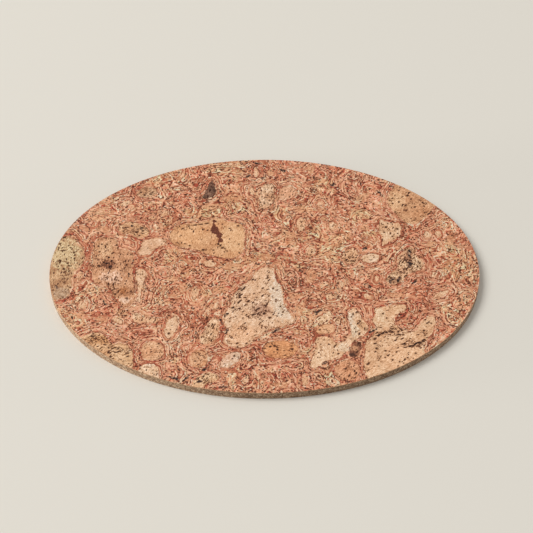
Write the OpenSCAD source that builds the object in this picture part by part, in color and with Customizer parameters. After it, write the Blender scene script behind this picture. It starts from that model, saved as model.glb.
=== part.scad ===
// Oval cork placemat: a board of agglomerated cork, a glue film and a burl cork veneer on top.
// The veneer is a bed of pressed cork shavings with bark chips set flush in it. It is drawn as a
// sheet that is larger than the mat, and the mat's outline cuts the sheet, the film and the board.
// The sheet is as large as the mat needs, so a chip keeps its place between the middle and the rim.

/* [Mat] */
// Length of the mat, along X
mat_length = 400; // [376:1:440]
// Width of the mat, along Y
mat_width = 300; // [284:1:330]
// Straight sides that make up the oval rim
rim_sides = 240; // [120:4:360]

/* [Layers] */
// Thickness of the agglomerated-cork board
core_thickness = 7; // [3:0.5:12]
// Thickness of the glue film between board and veneer
glue_thickness = 0.2; // [0.1:0.05:0.5]
// Thickness of the veneer, and so of each chip in it
veneer_thickness = 0.8; // [0.5:0.1:2]

/* [Veneer sheet] */
// Width of veneer that is trimmed off outside the rim
sheet_overhang = 25; // [20:1:30]
// Size of the chip pattern on the sheet, where 1 is the drawn size
pattern_scale = 1; // [0.92:0.01:1.04]
// How far a chip's edge strays from its smooth outline
ragged_edge = 0.4; // [0:0.1:0.7]
// Sides of each small chip or fleck
small_chip_sides = 12; // [8:1:16]

/* [Hidden] */
half_length = mat_length / 2;
half_width = mat_width / 2;
glue_bottom = core_thickness;
veneer_bottom = glue_bottom + glue_thickness;

// Outlines of the large chips, as corners on the sheet that are rounded off later.
// The origin is the middle of the mat, +X is to the right and +Y away from the viewer.
cracked_chip_corners = [
    [-82, 59], [-66, 61], [-51, 66], [-43, 68], [-36, 63], [-20, 61], [-18, 40],
    [-21, 20], [-30, 13], [-50, 18], [-64, 26], [-80, 29], [-90, 37], [-89, 50],
];
crack_bark_corners = [
    [-48, 66], [-47, 58], [-43, 52], [-42, 45], [-39, 39], [-40, 34],
    [-44, 37], [-46, 45], [-51, 52], [-50, 60],
];
front_chip_corners = [
    [-3, 3], [7, 2], [10, -6], [10, -14], [16, -22], [17, -36], [20, -50], [27, -60], [27, -68],
    [18, -71], [4, -75], [-9, -86], [-13, -95], [-26, -98], [-38, -91], [-33, -80], [-36, -68],
    [-38, -57], [-30, -46], [-31, -36], [-24, -24], [-11, -11],
];
right_front_chip_corners = [
    [100, -49], [114, -47], [129, -44], [130, -52], [118, -58], [116, -68], [124, -76], [135, -79],
    [141, -70], [147, -61], [155, -59], [155, -70], [150, -83], [143, -92], [141, -107], [153, -130],
    [126, -150], [96, -164], [92, -136], [86, -117], [90, -108], [90, -92], [96, -84], [103, -74],
    [97, -66], [101, -58],
];
elbow_chip_corners = [
    [60, -84], [62, -91], [67, -92], [74, -88], [79, -80], [77, -70], [75, -55], [81, -48],
    [87, -54], [88, -62], [94, -71], [93, -80], [84, -86], [77, -93], [72, -103], [65, -110],
    [56, -112], [49, -120], [39, -122], [43, -108], [47, -96], [45, -84],
];
knee_chip_corners = [[46, -79], [50, -71], [60, -68], [64, -75], [60, -81], [50, -81]];
grey_bark_chip_corners = [[81, -90], [88, -91], [86, -100], [82, -109], [77, -109], [74, -102]];
left_rim_chip_corners = [
    [-192, 43], [-180, 43], [-176, 32], [-169, 26], [-169, 7], [-180, -6], [-178, -20],
    [-179, -35], [-190, -39], [-222, -44], [-225, 0], [-216, 46],
];
stained_chip_corners = [
    [-160, 41], [-150, 42], [-140, 41], [-138, 26], [-130, 27], [-121, 18], [-123, 0], [-122, -16],
    [-119, -30], [-120, -46], [-131, -47], [-134, -38], [-140, -35], [-141, -23], [-150, -20],
    [-159, -17], [-161, 0], [-161, 20],
];
teardrop_chip_corners = [
    [-119, 2], [-110, 0], [-110, -10], [-113, -22], [-114, -42], [-117, -41], [-116, -26], [-119, -12],
];
pale_pink_chip_corners = [
    [-115, 38], [-101, 42], [-92, 38], [-94, 33], [-102, 28], [-110, 18], [-120, 19], [-116, 29],
];
dotted_chip_corners = [
    [-139, 57], [-130, 64], [-120, 61], [-110, 53], [-109, 45], [-118, 40], [-127, 46], [-138, 47],
];
upper_left_chip_corners = [[-126, 103], [-118, 111], [-107, 111], [-103, 104], [-108, 97], [-119, 96]];
bark_wedge_corners = [[-51, 122], [-47, 110], [-47, 101], [-53, 95], [-62, 95], [-57, 103], [-55, 111]];
upper_centre_chip_corners = [
    [0, 117], [10, 114], [9, 103], [12, 96], [8, 88], [1, 80], [-5, 79], [-4, 95], [-5, 106],
];
pinkish_chip_corners = [[15, 109], [22, 113], [30, 110], [31, 101], [25, 95], [18, 91], [14, 98]];
upper_right_rim_chip_corners = [
    [120, 99], [119, 84], [129, 70], [134, 61], [144, 58], [151, 66], [160, 74], [163, 85],
    [184, 104], [156, 128], [134, 140], [127, 112],
];
right_pale_chip_corners = [
    [110, 67], [118, 62], [130, 62], [131, 50], [126, 40], [117, 35], [110, 29], [113, 43], [109, 50],
];
crusted_chip_corners = [
    [131, 22], [135, 29], [141, 27], [142, 16], [148, 11], [148, 0], [140, -3], [131, -9], [126, -18],
    [113, -21], [113, -9], [121, -2], [126, 4], [125, 16],
];
speckled_chip_corners = [[71, 14], [76, 23], [83, 29], [89, 20], [86, 9], [78, 6]];
cream_chip_corners = [[90, 17], [97, 20], [107, 20], [108, 12], [101, 8], [92, 9]];
lower_left_chip_corners = [
    [-80, -58], [-78, -70], [-81, -80], [-86, -88], [-91, -80], [-90, -69], [-86, -62],
];
lower_left_rim_chip_corners = [
    [-164, -83], [-152, -78], [-141, -84], [-138, -94], [-126, -91], [-118, -100], [-116, -117],
    [-120, -130], [-130, -146], [-168, -120], [-192, -96],
];
lower_left_tan_chip_corners = [
    [-108, -92], [-98, -89], [-90, -95], [-90, -106], [-96, -112], [-107, -112], [-112, -102],
];
front_left_rim_chip_corners = [
    [-110, -117], [-99, -116], [-93, -122], [-93, -138], [-96, -164], [-126, -152], [-113, -129],
];
yellow_rim_chip_corners = [
    [-60, -132], [-50, -126], [-40, -130], [-40, -135], [-50, -138], [-55, -143], [-57, -175],
    [-71, -173], [-65, -140],
];
pale_round_chip_corners = [
    [-30, -102], [-22, -103], [-21, -111], [-27, -116], [-33, -121], [-41, -120], [-38, -111],
];
tan_front_chip_corners = [[-63, -100], [-54, -100], [-50, -110], [-53, -120], [-63, -121], [-68, -112]];
ring_chip_corners = [
    [-46, -61], [-42, -64], [-41, -73], [-43, -86], [-49, -93], [-57, -93], [-59, -84], [-52, -74],
];
orange_chip_corners = [
    [0, -93], [10, -88], [21, -89], [31, -95], [28, -105], [18, -110], [3, -109], [-2, -101],
];
outlined_chip_corners = [[60, -51], [61, -60], [55, -65], [51, -70], [46, -64], [49, -60], [55, -57]];
swirl_chip_corners = [
    [65, -116], [74, -111], [83, -116], [85, -126], [80, -135], [70, -137], [63, -130], [61, -122],
];

large_chips = [
    cracked_chip_corners, front_chip_corners, right_front_chip_corners, elbow_chip_corners,
    knee_chip_corners, grey_bark_chip_corners, left_rim_chip_corners, stained_chip_corners,
    teardrop_chip_corners, pale_pink_chip_corners, dotted_chip_corners, upper_left_chip_corners,
    bark_wedge_corners, upper_centre_chip_corners, pinkish_chip_corners, upper_right_rim_chip_corners,
    right_pale_chip_corners, crusted_chip_corners, speckled_chip_corners, cream_chip_corners,
    lower_left_chip_corners, lower_left_rim_chip_corners, lower_left_tan_chip_corners,
    front_left_rim_chip_corners, yellow_rim_chip_corners, pale_round_chip_corners,
    tan_front_chip_corners, ring_chip_corners, orange_chip_corners, outlined_chip_corners,
    swirl_chip_corners,
];

// How far the outlines above go from the middle, and the stretch that takes them to the sheet's edges.
drawn_reach = [for (axis = [0, 1]) max([for (chip = large_chips) for (corner = chip) abs(corner[axis])])];
stretch = [
    pattern_scale * (half_length + sheet_overhang) / drawn_reach[0],
    pattern_scale * (half_width + sheet_overhang) / drawn_reach[1],
];

// Small chips and flecks: [x, y, length, width, angle of the length from +X].
pale_chip_places = [
    [-51, 7, 11, 8, -10], [-12, 105, 12, 4, 95], [-8, 132, 14, 4, 90], [155, 45, 9, 6, 100],
    [165, 46, 9, 6, 95], [62, -34, 9, 5, 20], [95, -35, 9, 6, -35], [162, -32, 17, 5, 28],
    [-96, 74, 9, 5, 50], [-103, 56, 10, 4, 110], [-166, -46, 9, 5, 80], [-171, -10, 11, 4, 80],
    [-133, -65, 10, 6, -40], [-64, -30, 18, 5, 85], [-45, -46, 9, 4, 75], [54, 88, 7, 5, 20],
    [57, 67, 5, 4, 0], [35, 59, 19, 9, 85], [65, 57, 11, 7, 80], [44, 25, 12, 6, 75],
    [-134, 88, 11, 7, 30], [67, -65, 7, 5, 90], [72, -19, 8, 4, 80], [36, -136, 11, 5, 85],
    [-16, -133, 10, 3, 70], [-107, 68, 7, 5, 20], [158, -7, 8, 5, 60], [104, -13, 10, 4, 85],
    [-116, -61, 14, 8, 100], [-103, -64, 13, 6, -5],
];
tan_chip_places = [
    [-30, 4, 20, 9, 0], [0, 16, 16, 8, 5], [30, -34, 18, 8, 0], [43, -9, 18, 10, 80],
    [32, -51, 18, 11, 70], [120, -33, 19, 6, -5], [-30, 96, 20, 12, 10], [-50, 84, 22, 8, 5],
    [-152, 53, 16, 8, -20], [-160, 68, 12, 7, -10], [-171, 54, 12, 6, -40], [-148, -63, 12, 8, -30],
    [-168, -58, 12, 8, 60], [-85, -12, 12, 7, 0], [-75, -24, 13, 8, 80], [-41, -26, 15, 11, 30],
    [25, 45, 12, 8, -10], [95, 56, 12, 8, 40], [97, 97, 14, 9, 60], [46, 136, 14, 8, 80],
    [6, 132, 12, 7, 90], [176, 38, 16, 8, 95], [156, 33, 9, 6, 80], [15, -141, 11, 8, 0],
    [35, 80, 12, 8, 85], [56, 78, 9, 7, 90],
];
bark_fleck_places = [
    [-80, -133, 13, 5, -25], [-70, -134, 13, 4, 45], [118, -15, 12, 4, 60], [125, -13, 11, 4, 65],
    [140, -16, 11, 3, 35], [136, 20, 13, 5, 88], [136, 5, 13, 6, 85], [-147, -42, 10, 4, -60],
    [-191, -23, 8, 5, -40], [-15, 127, 7, 4, 40], [-1, 124, 6, 5, 50], [18, 135, 9, 5, -40],
    [-6, 145, 10, 4, -5], [67, 114, 6, 4, 40], [-83, 132, 6, 3, -30], [-35, -58, 12, 4, 50],
    [-34, -77, 9, 4, 80], [-49, -66, 10, 3, 55], [-39, -66, 10, 3, -75], [-126, 57, 5, 4, 45],
    [-118, 54, 6, 3, 30], [-144, 59, 6, 4, 60], [54, -115, 9, 4, 45], [98, -77, 11, 4, 40],
    [48, -54, 14, 5, 35], [10, -77, 9, 4, 35], [-36, -143, 10, 3, 0], [-58, -137, 6, 4, 20],
    [-53, -123, 7, 4, 20], [5, 31, 8, 3, -10], [4, 7, 8, 4, 15], [-6, 7, 6, 3, 10],
    [111, 104, 9, 4, -50], [122, 112, 5, 4, 60], [97, -22, 10, 4, -65], [94, 26, 9, 4, 50],
    [73, 10, 7, 3, 40], [-123, 10, 13, 3, 80], [-126, -9, 13, 3, 92], [-176, -50, 7, 3, -60],
    [-174, -64, 12, 3, -80],
];

// Chaikin corner cutting: each side of the outline keeps its middle half.
function cut_corners(points) = [
    for (i = [0 : len(points) - 1])
        let (a = points[i], b = points[(i + 1) % len(points)])
            each [0.75 * a + 0.25 * b, 0.25 * a + 0.75 * b]
];

// A point of the drawn pattern, moved to its place on the mat.
function on_mat(point) = [point[0] * stretch[0], point[1] * stretch[1]];

// A number that belongs to one chip, its bearing from the middle, for its own repeatable random draws.
function chip_seed(place) = round(100 * atan2(place[1], place[0]));

// Edge of a large chip: its corners cut twice, then each point moved at random by up to ragged_edge.
function chip_edge(corners) =
    let (
        edge = cut_corners(cut_corners([for (corner = corners) on_mat(corner)])),
        stray = rands(-ragged_edge, ragged_edge, 2 * len(edge), chip_seed(corners[0]))
    )
    [for (i = [0 : len(edge) - 1]) edge[i] + [stray[2 * i], stray[2 * i + 1]]];

// Edge of a small chip: an ellipse of the given length, width and angle with an uneven radius.
function small_edge(place) =
    let (
        reach = rands(0.82, 1.1, small_chip_sides, chip_seed(place)),
        lean = place[4]
    )
    [
        for (i = [0 : small_chip_sides - 1])
            let (
                turn = 360 * i / small_chip_sides,
                along = reach[i] * place[2] / 2 * cos(turn),
                across = reach[i] * place[3] / 2 * sin(turn)
            )
            on_mat(place) + pattern_scale * [
                along * cos(lean) - across * sin(lean),
                along * sin(lean) + across * cos(lean),
            ]
    ];

// The oval that everything is cut to.
module mat_outline() {
    polygon([
        for (i = [0 : rim_sides - 1])
            let (turn = 360 * i / rim_sides)
            [half_length * cos(turn), half_width * sin(turn)]
    ]);
}

// The flat shapes of a group of small chips or flecks.
module small_shapes(places) {
    for (place = places) polygon(small_edge(place));
}

// The flat shapes of all near-black bark, which the chips around it make room for.
module bark_shapes() {
    polygon(chip_edge(crack_bark_corners));
    small_shapes(bark_fleck_places);
}

// Flat shapes taken through the veneer's depth, as far as the mat's rim.
module inlay() {
    translate([0, 0, veneer_bottom])
        linear_extrude(veneer_thickness)
            intersection() {
                mat_outline();
                union() children();
            }
}

// One large chip, with room for the bark in it.
module large_chip(corners) {
    inlay()
        difference() {
            polygon(chip_edge(corners));
            bark_shapes();
        }
}

// Agglomerated-cork board, the body of the mat.
module core_board() {
    color("#7a6047")
        linear_extrude(core_thickness) mat_outline();
}

// Glue film that bonds the veneer to the board.
module glue_film() {
    color("#b9975f")
        translate([0, 0, glue_bottom])
            linear_extrude(glue_thickness) mat_outline();
}

// Bed of pressed shavings, with a pocket for each chip and fleck.
module veneer_ground() {
    color("#c0876b")
        inlay()
            difference() {
                mat_outline();
                for (corners = large_chips) polygon(chip_edge(corners));
                small_shapes(pale_chip_places);
                small_shapes(tan_chip_places);
                bark_shapes();
            }
}

// Large chips, one module each.
module cracked_chip() { color("#d9a673") large_chip(cracked_chip_corners); }
module front_chip() { color("#e2bc98") large_chip(front_chip_corners); }
module right_front_chip() { color("#e4b98c") large_chip(right_front_chip_corners); }
module elbow_chip() { color("#e6c0a0") large_chip(elbow_chip_corners); }
module knee_chip() { color("#cf9c6c") large_chip(knee_chip_corners); }
module grey_bark_chip() { color("#7d6258") large_chip(grey_bark_chip_corners); }
module left_rim_chip() { color("#c9ae7f") large_chip(left_rim_chip_corners); }
module stained_chip() { color("#cda06f") large_chip(stained_chip_corners); }
module teardrop_chip() { color("#e0b48c") large_chip(teardrop_chip_corners); }
module pale_pink_chip() { color("#e8be9c") large_chip(pale_pink_chip_corners); }
module dotted_chip() { color("#d0a877") large_chip(dotted_chip_corners); }
module upper_left_chip() { color("#c89f74") large_chip(upper_left_chip_corners); }
module bark_wedge() { color("#5c493c") large_chip(bark_wedge_corners); }
module upper_centre_chip() { color("#e2be92") large_chip(upper_centre_chip_corners); }
module pinkish_chip() { color("#d9a585") large_chip(pinkish_chip_corners); }
module upper_right_rim_chip() { color("#cf9d70") large_chip(upper_right_rim_chip_corners); }
module right_pale_chip() { color("#e0b58a") large_chip(right_pale_chip_corners); }
module crusted_chip() { color("#d8b98c") large_chip(crusted_chip_corners); }
module speckled_chip() { color("#d3a97f") large_chip(speckled_chip_corners); }
module cream_chip() { color("#e3bf96") large_chip(cream_chip_corners); }
module lower_left_chip() { color("#e2b995") large_chip(lower_left_chip_corners); }
module lower_left_rim_chip() { color("#d6a777") large_chip(lower_left_rim_chip_corners); }
module lower_left_tan_chip() { color("#dba57a") large_chip(lower_left_tan_chip_corners); }
module front_left_rim_chip() { color("#e2b083") large_chip(front_left_rim_chip_corners); }
module yellow_rim_chip() { color("#d9ac6c") large_chip(yellow_rim_chip_corners); }
module pale_round_chip() { color("#e6c8ae") large_chip(pale_round_chip_corners); }
module tan_front_chip() { color("#d6a87c") large_chip(tan_front_chip_corners); }
module ring_chip() { color("#d9b083") large_chip(ring_chip_corners); }
module orange_chip() { color("#c98b4f") large_chip(orange_chip_corners); }
module outlined_chip() { color("#e0bb88") large_chip(outlined_chip_corners); }
module swirl_chip() { color("#d4a079") large_chip(swirl_chip_corners); }

// Dark bark that fills the long crack.
module crack_bark() {
    color("#4a2f28")
        inlay() polygon(chip_edge(crack_bark_corners));
}

// Groups of small chips and flecks.
module pale_chips() {
    color("#e4bd99")
        inlay() small_shapes(pale_chip_places);
}
module tan_chips() {
    color("#cc9b70")
        inlay() small_shapes(tan_chip_places);
}
module bark_flecks() {
    color("#3d302c")
        inlay() small_shapes(bark_fleck_places);
}

core_board();
glue_film();
veneer_ground();
cracked_chip();
crack_bark();
front_chip();
right_front_chip();
elbow_chip();
knee_chip();
grey_bark_chip();
left_rim_chip();
stained_chip();
teardrop_chip();
pale_pink_chip();
dotted_chip();
upper_left_chip();
bark_wedge();
upper_centre_chip();
pinkish_chip();
upper_right_rim_chip();
right_pale_chip();
crusted_chip();
speckled_chip();
cream_chip();
lower_left_chip();
lower_left_rim_chip();
lower_left_tan_chip();
front_left_rim_chip();
yellow_rim_chip();
pale_round_chip();
tan_front_chip();
ring_chip();
orange_chip();
outlined_chip();
swirl_chip();
pale_chips();
tan_chips();
bark_flecks();
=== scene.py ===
import bpy
import numpy as np
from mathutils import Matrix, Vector
from mathutils.geometry import delaunay_2d_cdt
from mathutils.kdtree import KDTree


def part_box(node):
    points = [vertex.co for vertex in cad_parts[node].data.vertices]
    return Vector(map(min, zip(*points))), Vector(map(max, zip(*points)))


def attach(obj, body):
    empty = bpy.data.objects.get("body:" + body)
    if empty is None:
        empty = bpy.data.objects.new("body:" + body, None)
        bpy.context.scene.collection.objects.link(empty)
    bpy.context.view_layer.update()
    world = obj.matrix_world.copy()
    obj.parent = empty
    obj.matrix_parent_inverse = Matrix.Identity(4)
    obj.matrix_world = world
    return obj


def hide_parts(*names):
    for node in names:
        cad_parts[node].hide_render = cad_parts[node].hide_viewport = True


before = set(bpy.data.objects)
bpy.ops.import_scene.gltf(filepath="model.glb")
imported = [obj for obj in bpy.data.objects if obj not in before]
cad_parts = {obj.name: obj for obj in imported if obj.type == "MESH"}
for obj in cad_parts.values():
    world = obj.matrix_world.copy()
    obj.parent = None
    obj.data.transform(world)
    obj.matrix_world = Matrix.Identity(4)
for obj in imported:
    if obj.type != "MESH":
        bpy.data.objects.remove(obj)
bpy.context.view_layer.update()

# Core board: cork granules of about a millimetre, bound under heat and pressure into a block, sawn into a
# board and die-cut to the oval. The cut edge is plain and straight and shows the granules in section, and
# its arris at the underside is worn by a third of a millimetre. Sizes here are in millimetres.
mm = 0.001
_, core_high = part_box("core_board")
half_length = core_high.x / mm
half_width = core_high.y / mm
core_top = core_high.z / mm
arris = 0.35
edge_rows = 12
rim_steps = 1320
granule_size = 1.3
granule_joint_depth = 0.1
granule_hole_depth = 0.3
granule_joint_reach = 0.35
granule_hole_reach = 0.3
granules_kept = 0.94
relief_start = 0.8
underside_gap = 1.9
underside_relief = 0.6
underside_reach = 0.995
underside_rim = 0.996
underside_fade = 50
sharp_angle = 0.6


def border_sides(triangles):
    """Directed sides that belong to one triangle only: those whose reverse is no other triangle's side."""
    pairs = [triangles[:, [0, 1]], triangles[:, [1, 2]], triangles[:, [2, 0]]]
    sides = np.concatenate(pairs).astype(np.int64)
    count = triangles.max() + 1
    return sides[~np.isin(sides[:, 0] * count + sides[:, 1], sides[:, 1] * count + sides[:, 0])]


def inside(points, sides):
    """True for points inside an outline: a line from the point to the right crosses an odd number of its
    sides. Points are taken in blocks, to spare memory."""
    most_pairs = 8_000_000
    start, end = sides[:, 0].T, sides[:, 1].T
    slope = (end[0] - start[0]) / np.where(end[1] == start[1], 1.0, end[1] - start[1])
    answers = []
    for block in np.array_split(points, len(points) * len(sides) // most_pairs + 1):
        x, y = block[:, :1], block[:, 1:]
        spans = (start[1] > y) != (end[1] > y)
        answers.append((spans & (x < start[0] + slope * (y - start[1]))).sum(1) % 2 == 1)
    return np.concatenate(answers)


def staggered_rows(sides, gap):
    """Points gap apart in staggered rows, as far as they are inside an outline. In each row a point is inside
    where an odd number of the row's crossings with the outline lies to its left."""
    low, high = sides.min((0, 1)), sides.max((0, 1))
    start, end = sides[:, 0].T, sides[:, 1].T
    row_gap = gap * 0.866
    rows = []
    for number, y in enumerate(np.arange(low[1] + gap / 3, high[1], row_gap)):
        spans = (start[1] > y) != (end[1] > y)
        share = (y - start[1, spans]) / (end[1, spans] - start[1, spans])
        crossings = np.sort(start[0, spans] + share * (end[0, spans] - start[0, spans]))
        x = np.arange(low[0] + gap * (number % 2) / 2, high[0], gap)
        x = x[np.searchsorted(crossings, x) % 2 == 1]
        rows.append(np.stack([x, np.full(len(x), y)], 1))
    return np.concatenate(rows)


def nearest(points, targets):
    """Distance from each point to the nearest of the target points, and that target's number."""
    search = KDTree(len(targets))
    for number, (x, y) in enumerate(targets.tolist()):
        search.insert((x, y, 0), number)
    search.balance()
    found = [search.find((x, y, 0)) for x, y in points.tolist()]
    return np.array([away for _, _, away in found]), np.array([number for _, number, _ in found])


def net(sides, filling):
    """Flat net of triangles over the filling points and the ends of the outline's sides, with the sides
    kept as borders. Triangles outside the outline, which only join border points, are left out."""
    corners, number = np.unique(np.round(sides.reshape(-1, 2), 4), axis=0, return_inverse=True)
    points = np.concatenate([corners, filling])
    found = delaunay_2d_cdt([Vector(p) for p in points.tolist()], number.reshape(-1, 2).tolist(), [], 0, 1e-5)
    points = np.round(np.array([tuple(p) for p in found[0]]), 4)
    triangles = np.array(found[2])
    on_border = np.array([len(group) > 0 and min(group) < len(corners) for group in found[3]])
    kept = ~on_border[triangles].all(1)
    kept[~kept] = inside(points[triangles[~kept]].mean(1), sides)
    used, triangles = np.unique(triangles[kept], return_inverse=True)
    return points[used], triangles.reshape(-1, 3)


def granules(along, across, size, seed):
    """Granules pressed side by side: each square of the given size has one seed point at random in it, and a
    place belongs to the nearest seed. Gives how much farther the next seed is, in granule sizes, which is 0
    at a joint, and a random number for the granule. The pattern repeats after 128 squares."""
    repeat = 128
    farther_than_any = 9.0
    table = np.random.default_rng(seed).random((3, repeat, repeat))
    column = np.floor(along / size).astype(int)
    row = np.floor(across / size).astype(int)
    first = np.full(along.shape, farther_than_any)
    second = first.copy()
    number = np.zeros(along.shape)
    for step_x in (-1, 0, 1):
        for step_y in (-1, 0, 1):
            shift_x, shift_y, tone = table[:, (column + step_x) % repeat, (row + step_y) % repeat]
            away = np.hypot(column + step_x + shift_x - along / size, row + step_y + shift_y - across / size)
            second = np.minimum(second, np.maximum(first, away))
            number = np.where(away < first, tone, number)
            first = np.minimum(first, away)
    return second - first, number


def granule_relief(along, across, seed):
    """Depth below the pressed face: a groove at each joint, and a hole where a granule has dropped out."""
    joint, number = granules(along, across, granule_size, seed)
    groove = granule_joint_depth * np.clip(1 - joint / granule_joint_reach, 0, 1)
    hole = granule_hole_depth * np.clip(joint / granule_hole_reach, 0, 1)
    return groove + (number > granules_kept) * hole


def make_piece(name, points, faces, maps, material):
    """Closed mesh object from points in millimetres, groups of faces and each group's places on the bake map.
    Points that fall together become one. The piece is shaded smooth except across sharp sides."""
    points, number = np.unique(np.round(points, 4), axis=0, return_inverse=True)
    corners = np.concatenate([number.ravel()[group].ravel() for group in faces])
    counts = np.concatenate([np.full(len(group), group.shape[1]) for group in faces])
    mesh = bpy.data.meshes.new(name)
    mesh.vertices.add(len(points))
    mesh.vertices.foreach_set("co", (points * mm).astype(np.float32).ravel())
    mesh.loops.add(len(corners))
    mesh.loops.foreach_set("vertex_index", corners.astype(np.int32))
    mesh.polygons.add(len(counts))
    mesh.polygons.foreach_set("loop_start", (np.cumsum(counts) - counts).astype(np.int32))
    mesh.polygons.foreach_set("use_smooth", np.ones(len(counts), bool))
    mesh.update(calc_edges=True)
    mesh.set_sharp_from_angle(angle=sharp_angle)
    places = np.concatenate([group.reshape(-1, 2) for group in maps]).astype(np.float32)
    mesh.uv_layers.new(name="OFBake").uv.foreach_set("vector", places.ravel())
    mesh.materials.append(material)
    piece = bpy.data.objects.new(name, mesh)
    bpy.context.scene.collection.objects.link(piece)
    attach(piece, "root")
    return piece, points


def colour(code):
    """Linear colour of a six-digit code of red, green and blue as a screen shows them."""
    shown = np.array([int(code[at:at + 2], 16) for at in (0, 2, 4)]) / 255
    return (*np.where(shown < 0.04045, shown / 12.92, ((shown + 0.055) / 1.055) ** 2.4), 1.0)


def node(tree, kind, inputs=None, **options):
    """Shader node of a kind with its options. Each input is set to a value or linked from another node's
    output."""
    made = tree.nodes.new("ShaderNode" + kind)
    for name, value in options.items():
        setattr(made, name, value)
    for name, value in (inputs or {}).items():
        if isinstance(value, bpy.types.NodeSocket):
            tree.links.new(value, made.inputs[name])
        else:
            made.inputs[name].default_value = value
    return made


def reckon(tree, operation, first, second=0.5):
    """One sum on two values or node outputs."""
    return node(tree, "Math", {0: first, 1: second}, operation=operation).outputs[0]


def blend(tree, share, first, second, mode="MIX"):
    """Mix of two colours by a share from 0 to 1."""
    return node(tree, "Mix", {0: share, 6: first, 7: second}, data_type="RGBA", blend_type=mode).outputs[2]


def spread(tree, value, low, high, start=0.0, end=1.0):
    """A value between low and high taken to between start and end, and held there beyond."""
    limits = {"Value": value, "From Min": low, "From Max": high, "To Min": start, "To Max": end}
    return node(tree, "MapRange", limits).outputs["Result"]


def ramp(tree, value, stops, steps=False):
    """Colours read off a scale of (place, colour code) stops, blended or in steps."""
    made = node(tree, "ValToRGB", {"Fac": value})
    scale = made.color_ramp
    scale.interpolation = "CONSTANT" if steps else "LINEAR"
    while len(scale.elements) < len(stops):
        scale.elements.new(1.0)
    for element, (place, code) in zip(scale.elements, stops):
        element.position = place
        element.color = colour(code)
    return made.outputs["Color"]


def finish_of(name, roughness, specular):
    """New material with a shader of that gloss: its node tree, its shader and itself."""
    material = bpy.data.materials.new(name)
    material.use_nodes = True
    shader = material.node_tree.nodes["Principled BSDF"]
    shader.inputs["Roughness"].default_value = roughness
    shader.inputs["Specular IOR Level"].default_value = specular
    return material.node_tree, shader, material


tree, shader, pressed_granules = finish_of("pressed granules", 0.9, 0.2)
place = node(tree, "TexCoord").outputs["Object"]
granule_net = {"Vector": place, "Scale": 1 / (granule_size * mm)}
granule_cells = node(tree, "TexVoronoi", granule_net)
granule_draw = node(tree, "SeparateColor", {0: granule_cells.outputs["Color"]}).outputs[0]
crumbs = node(tree, "TexNoise", {"Vector": place, "Scale": 1 / (0.7 * mm), "Detail": 3.0, "Roughness": 0.6})
joints = node(tree, "TexVoronoi", granule_net, feature="DISTANCE_TO_EDGE")
granule_tones = ramp(tree, granule_draw, [
    (0.0, "7a5d49"), (0.2, "9b7d63"), (0.45, "b08f72"), (0.7, "c2a486"), (0.9, "d9bd9f")])
crumbly = blend(tree, spread(tree, crumbs.outputs[0], 0.35, 0.65, 0.0, 0.6), granule_tones, colour("80634e"))
glued = blend(tree, spread(tree, joints.outputs["Distance"], 0.0, 0.14, 0.8, 0.0), crumbly, colour("4e3b2c"))
tree.links.new(glued, shader.inputs["Base Color"])
height = reckon(tree, "ADD", spread(tree, joints.outputs["Distance"], 0.0, 0.2), crumbs.outputs[0])
bump = node(tree, "Bump", {"Height": height, "Strength": 0.5, "Distance": 0.2 * mm})
tree.links.new(bump.outputs[0], shader.inputs["Normal"])

turns = np.linspace(0, 2 * np.pi, rim_steps, endpoint=False)
oval = np.stack([half_length * np.cos(turns), half_width * np.sin(turns)], 1)
step_lengths = np.linalg.norm(np.roll(oval, -1, 0) - oval, axis=1)
rim_run = np.cumsum(step_lengths) - step_lengths
arris_turns = np.linspace(0, np.pi / 2, 4)[1:]
straight_height = core_top - arris
straight_drop = np.linspace(0, straight_height, edge_rows)
row_drop = np.concatenate([straight_drop, straight_height + arris * np.sin(arris_turns)])
row_inset = np.concatenate([np.zeros(edge_rows), arris * (1 - np.cos(arris_turns))])
sunk = granule_relief(rim_run + 0 * row_drop[:, None], 0 * rim_run + row_drop[:, None], 11)
sunk *= np.clip(row_drop / relief_start, 0, 1)[:, None]
sunk[-1] = 0
edge_points = np.empty((len(row_drop), rim_steps, 3))
edge_points[:, :, :2] = oval * (1 - (row_inset[:, None] + sunk) / half_width)[:, :, None]
edge_points[:, :, 2] = (core_top - row_drop)[:, None]
edge_points = np.round(edge_points, 4)
foot = np.stack([edge_points[-1, :, :2], np.roll(edge_points[-1, :, :2], -1, 0)], 1)
under_points, under_faces = net(foot, staggered_rows(foot * underside_reach, underside_gap))
under_depth = underside_relief * granule_relief(under_points[:, 0], under_points[:, 1], 12)
under_share = np.hypot(*(under_points / (half_length, half_width)).T)
under_depth *= np.clip((underside_rim - under_share) * underside_fade, 0, 1)

# On the bake map the underside lies lowest, the edge above it, and the top face in a thin strip above both.
row, column = np.mgrid[0:len(row_drop) - 1, 0:rim_steps]
corner_row = np.stack([row, row + 1, row + 1, row], 2)
corner_column = np.stack([column, column, column + 1, column + 1], 2)
edge_faces = (corner_row * rim_steps + corner_column % rim_steps).reshape(-1, 4)
edge_map = np.stack([corner_column / rim_steps, 0.98 - 0.2 * corner_row / len(row_drop)], 3)
under_map = (under_points / (2 * half_length, 2 * half_width) + 0.5) * (1, 0.75)
top_face = np.arange(rim_steps)[None]
top_map = (oval / (2 * half_length, 2 * half_width) + 0.5) * (1, 0.01) + (0, 0.985)
board_points = np.concatenate([edge_points.reshape(-1, 3), np.column_stack([under_points, under_depth])])
board_faces = [edge_faces, under_faces[:, ::-1] + edge_points.size // 3, top_face]
board_maps = [edge_map, under_map[under_faces[:, ::-1]], top_map[top_face]]
core_board, _ = make_piece("cork_board", board_points, board_faces, board_maps, pressed_granules)
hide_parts("core_board")

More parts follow.
